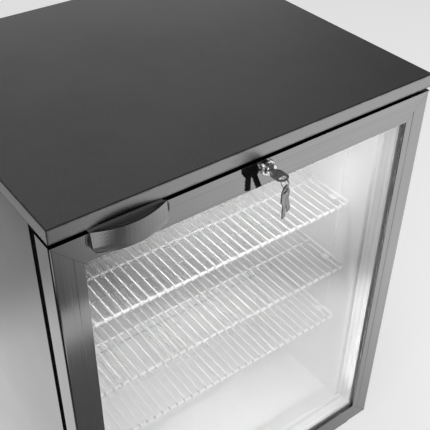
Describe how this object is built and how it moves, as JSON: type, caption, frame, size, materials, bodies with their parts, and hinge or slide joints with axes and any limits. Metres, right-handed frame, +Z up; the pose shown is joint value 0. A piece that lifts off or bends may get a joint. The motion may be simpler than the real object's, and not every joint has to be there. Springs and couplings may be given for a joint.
{
  "type": "undercounter refrigerator",
  "caption": "Low glass-door bottle cooler with a dark worktop, a bowed top handle, a keyed lock, wire shelves and a front air grille.",
  "frame": {"origin": "centre of the footprint on the floor the feet stand on", "axes": "+Z up; the door faces -Y; +X to the right as seen from the front, which is the door's hinge side"},
  "size_m": [0.6, 0.564, 0.85],
  "materials": {
    "black_coated_steel": "satin black powder coat with a fine grain",
    "compressor_black": "gloss black enamel, copper pipe",
    "dark_anodised_aluminium": "glossy dark anodising",
    "handle_plastic": "dark moulded plastic",
    "dark_plastic": "fine matt moulding grain",
    "white_plastic": "smooth white moulding",
    "white_coated_wire": "white plastic-coated steel wire",
    "galvanised_steel": "galvanised, faintly spangled",
    "white_coated_steel": "white coated sheet steel",
    "bright_steel": "zinc-plated bright steel",
    "key_steel": "nickel-plated, lightly worn",
    "chrome": "bright chrome",
    "aluminium": "mill-finish aluminium",
    "glass": "clear sheet glass",
    "black_rubber": "soft black rubber",
    "foam": "rigid closed-cell foam",
    "board": "particle board core",
    "nylon": "natural nylon"
  },
  "bodies": {
    "cabinet": {"worktop_skin": "black_coated_steel", "worktop_board": "board", "side_panel_left": "black_coated_steel", "side_panel_right": "black_coated_steel", "back_panel": "galvanised_steel", "mains_inlet": "black_rubber", "base_pan": "galvanised_steel", "insulation_foam": "foam", "liner": "white_plastic", "front_breaker": "white_plastic", "kick_grille": "dark_plastic", "controller_housing": "dark_plastic", "strike_plate": "bright_steel", "hinge_bracket_top": "bright_steel", "hinge_bracket_bottom": "bright_steel", "shelf_upright_front_left": "white_coated_steel", "shelf_upright_rear_left": "white_coated_steel", "shelf_upright_front_right": "white_coated_steel", "shelf_upright_rear_right": "white_coated_steel", "evaporator_cover": "white_plastic", "evaporator_coil": "aluminium", "evaporator_fan_motor": "dark_plastic", "condenser": "aluminium", "condenser_fan_shroud": "galvanised_steel", "condenser_fan_motor": "dark_plastic", "compressor": "compressor_black", "drip_tray": "dark_plastic", "interior_lamp": "white_plastic"},
    "door": {"door_top_rail": "dark_anodised_aluminium", "door_bottom_rail": "dark_anodised_aluminium", "door_left_stile": "dark_anodised_aluminium", "door_right_stile": "dark_anodised_aluminium", "glass_outer_pane": "glass", "glass_inner_pane": "glass", "glass_spacer": "aluminium", "door_inner_trim": "white_plastic", "door_gasket": "black_rubber", "door_handle": "handle_plastic", "lock_barrel": "chrome", "hinge_bush_top": "nylon", "hinge_bush_bottom": "nylon", "closer_torsion_rod": "bright_steel"},
    "lock": {"lock_plug": "chrome", "lock_cam": "bright_steel", "key_in_lock": "key_steel"},
    "key_ring": {"key_ring": "key_steel"},
    "spare_key_front": {"spare_key_front": "key_steel"},
    "spare_key_back": {"spare_key_back": "key_steel"},
    "evaporator_fan": {"evaporator_fan_rotor": "dark_plastic"},
    "condenser_fan": {"condenser_fan_rotor": "dark_plastic"},
    "foot_front_left": {"foot_front_left": "black_rubber"},
    "foot_rear_left": {"foot_rear_left": "black_rubber"},
    "foot_front_right": {"foot_front_right": "black_rubber"},
    "foot_rear_right": {"foot_rear_right": "black_rubber"},
    "button_set": {"button_set": "white_plastic"},
    "button_down": {"button_down": "white_plastic"},
    "button_up": {"button_up": "white_plastic"},
    "shelf_upper": {"shelf_upper": "white_coated_wire"},
    "shelf_middle": {"shelf_middle": "white_coated_wire"},
    "shelf_lower": {"shelf_lower": "white_coated_wire"}
  },
  "joints": [
    {"name": "door_hinge", "type": "hinge", "parent": "cabinet", "child": "door", "pos_m": [0.285, -0.22002, 0.11], "axis": [0, 0, 1], "range_deg": [0, 110], "stiffness_Nm_per_rad": 0.5, "springref_deg": -20.05},
    {"name": "lock_turn", "type": "hinge", "parent": "door", "child": "lock", "pos_m": [0.0005, -0.23802, 0.8112], "axis": [0, 1, 0], "range_deg": [0, 90]},
    {"name": "key_ring_swing", "type": "hinge", "parent": "lock", "child": "key_ring", "pos_m": [0.0005, -0.27318, 0.8134], "axis": [0, -1, 0], "range_deg": [-42, 42]},
    {"name": "spare_key_front_swing", "type": "hinge", "parent": "key_ring", "child": "spare_key_front", "pos_m": [0.0005, -0.27318, 0.7974], "axis": [0, -1, 0], "range_deg": [-48, 48]},
    {"name": "spare_key_back_swing", "type": "hinge", "parent": "key_ring", "child": "spare_key_back", "pos_m": [0.0005, -0.27318, 0.7974], "axis": [0, -1, 0], "range_deg": [-48, 48]},
    {"name": "foot_front_left_screw", "type": "slide", "parent": "cabinet", "child": "foot_front_left", "axis": [0, 0, -1], "range_m": [0, 0.012]},
    {"name": "foot_rear_left_screw", "type": "slide", "parent": "cabinet", "child": "foot_rear_left", "axis": [0, 0, -1], "range_m": [0, 0.012]},
    {"name": "foot_front_right_screw", "type": "slide", "parent": "cabinet", "child": "foot_front_right", "axis": [0, 0, -1], "range_m": [0, 0.012]},
    {"name": "foot_rear_right_screw", "type": "slide", "parent": "cabinet", "child": "foot_rear_right", "axis": [0, 0, -1], "range_m": [0, 0.012]},
    {"name": "button_set_press", "type": "slide", "parent": "cabinet", "child": "button_set", "axis": [0, 1, 0], "range_m": [0, 0.0008], "stiffness_N_per_m": 300, "springref_m": -0.0005},
    {"name": "button_down_press", "type": "slide", "parent": "cabinet", "child": "button_down", "axis": [0, 1, 0], "range_m": [0, 0.0008], "stiffness_N_per_m": 300, "springref_m": -0.0005},
    {"name": "button_up_press", "type": "slide", "parent": "cabinet", "child": "button_up", "axis": [0, 1, 0], "range_m": [0, 0.0008], "stiffness_N_per_m": 300, "springref_m": -0.0005},
    {"name": "shelf_upper_slide", "type": "slide", "parent": "cabinet", "child": "shelf_upper", "axis": [0, -1, 0], "range_m": [0, 0.018]},
    {"name": "shelf_middle_slide", "type": "slide", "parent": "cabinet", "child": "shelf_middle", "axis": [0, -1, 0], "range_m": [0, 0.018]},
    {"name": "shelf_lower_slide", "type": "slide", "parent": "cabinet", "child": "shelf_lower", "axis": [0, -1, 0], "range_m": [0, 0.018]},
    {"name": "evaporator_fan_spin", "type": "hinge", "parent": "cabinet", "child": "evaporator_fan", "pos_m": [0, 0.20397, 0.562], "axis": [0, -1, 0], "continuous": true},
    {"name": "condenser_fan_spin", "type": "hinge", "parent": "cabinet", "child": "condenser_fan", "pos_m": [-0.18, 0.17197, 0.13515], "axis": [0, 1, 0], "continuous": true}
  ]
}
